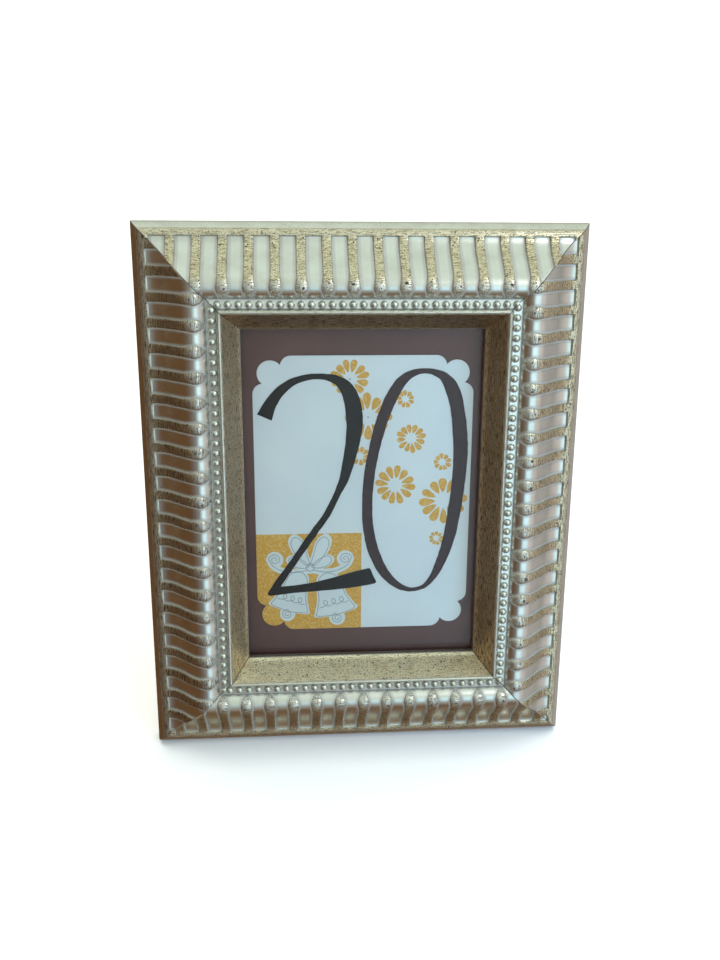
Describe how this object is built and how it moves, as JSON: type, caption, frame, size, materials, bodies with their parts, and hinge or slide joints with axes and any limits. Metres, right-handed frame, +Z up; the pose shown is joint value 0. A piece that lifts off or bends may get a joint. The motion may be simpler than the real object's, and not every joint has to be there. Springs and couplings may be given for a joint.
{
  "type": "table number holder",
  "caption": "Ornate standing picture frame that holds a printed table number card behind glass, with a folding easel leg and turn buttons on its back.",
  "frame": {"origin": "on the table, under the middle of the object's box with the leg open", "axes": "+Z up, the face looks towards -Y and leans back 15 degrees, +X to the viewer's right"},
  "size_m": [0.22, 0.1086, 0.2658],
  "materials": {
    "leafed_wood": "champagne silver leaf, gold rubbed on the reeds and bands, toned and speckled",
    "pane": "clear float glass",
    "white_card": "smooth white card, printed",
    "plum_card": "dark plum-brown card, matt",
    "grey_card": "plain filler board",
    "black_board": "hardboard covered in black textured paper",
    "brass": "brass plated, satin",
    "steel": "zinc plated",
    "ribbon": "black satin ribbon, 10 mm"
  },
  "bodies": {
    "frame": {"rail_bottom": "leafed_wood", "rail_right": "leafed_wood", "rail_top": "leafed_wood", "rail_left": "leafed_wood", "corner_nail_bottom_right_1": "steel", "corner_nail_bottom_right_2": "steel", "corner_nail_top_right_1": "steel", "corner_nail_top_right_2": "steel", "corner_nail_top_left_1": "steel", "corner_nail_top_left_2": "steel", "corner_nail_bottom_left_1": "steel", "corner_nail_bottom_left_2": "steel", "glass_pane": "pane", "number_card": "white_card", "card_mount": "plum_card", "filler_card": "grey_card", "backing_board": "black_board", "turn_button_screw_left_lower": "brass", "turn_button_screw_left_upper": "brass", "turn_button_screw_right_lower": "brass", "turn_button_screw_right_upper": "brass", "hinge_leaf_board": "brass", "hinge_pin": "steel", "rivet_board_left": "brass", "rivet_board_right": "brass", "ribbon_stay": "ribbon", "staple_board": "steel"},
    "easel": {"easel_leg": "black_board", "hinge_leaf_leg": "brass", "rivet_leg_left": "brass", "rivet_leg_right": "brass", "staple_leg": "steel"},
    "button_left_lower": {"turn_button_left_lower": "brass"},
    "button_left_upper": {"turn_button_left_upper": "brass"},
    "button_right_lower": {"turn_button_right_lower": "brass"},
    "button_right_upper": {"turn_button_right_upper": "brass"}
  },
  "joints": [
    {"name": "leg_fold", "type": "hinge", "parent": "frame", "child": "easel", "pos_m": [0, 0.01595, 0.17576], "axis": [-1, 0, 0], "range_deg": [0, 25], "deforming": ["ribbon_stay"]},
    {"name": "turn_left_lower", "type": "hinge", "parent": "frame", "child": "button_left_lower", "pos_m": [-0.073, -0.01106, 0.08154], "axis": [0, -0.9659, 0.2588], "continuous": true},
    {"name": "turn_left_upper", "type": "hinge", "parent": "frame", "child": "button_left_upper", "pos_m": [-0.073, 0.01586, 0.182], "axis": [0, -0.9659, 0.2588], "continuous": true},
    {"name": "turn_right_lower", "type": "hinge", "parent": "frame", "child": "button_right_lower", "pos_m": [0.073, -0.01106, 0.08154], "axis": [0, -0.9659, 0.2588], "continuous": true},
    {"name": "turn_right_upper", "type": "hinge", "parent": "frame", "child": "button_right_upper", "pos_m": [0.073, 0.01586, 0.182], "axis": [0, -0.9659, 0.2588], "continuous": true}
  ]
}
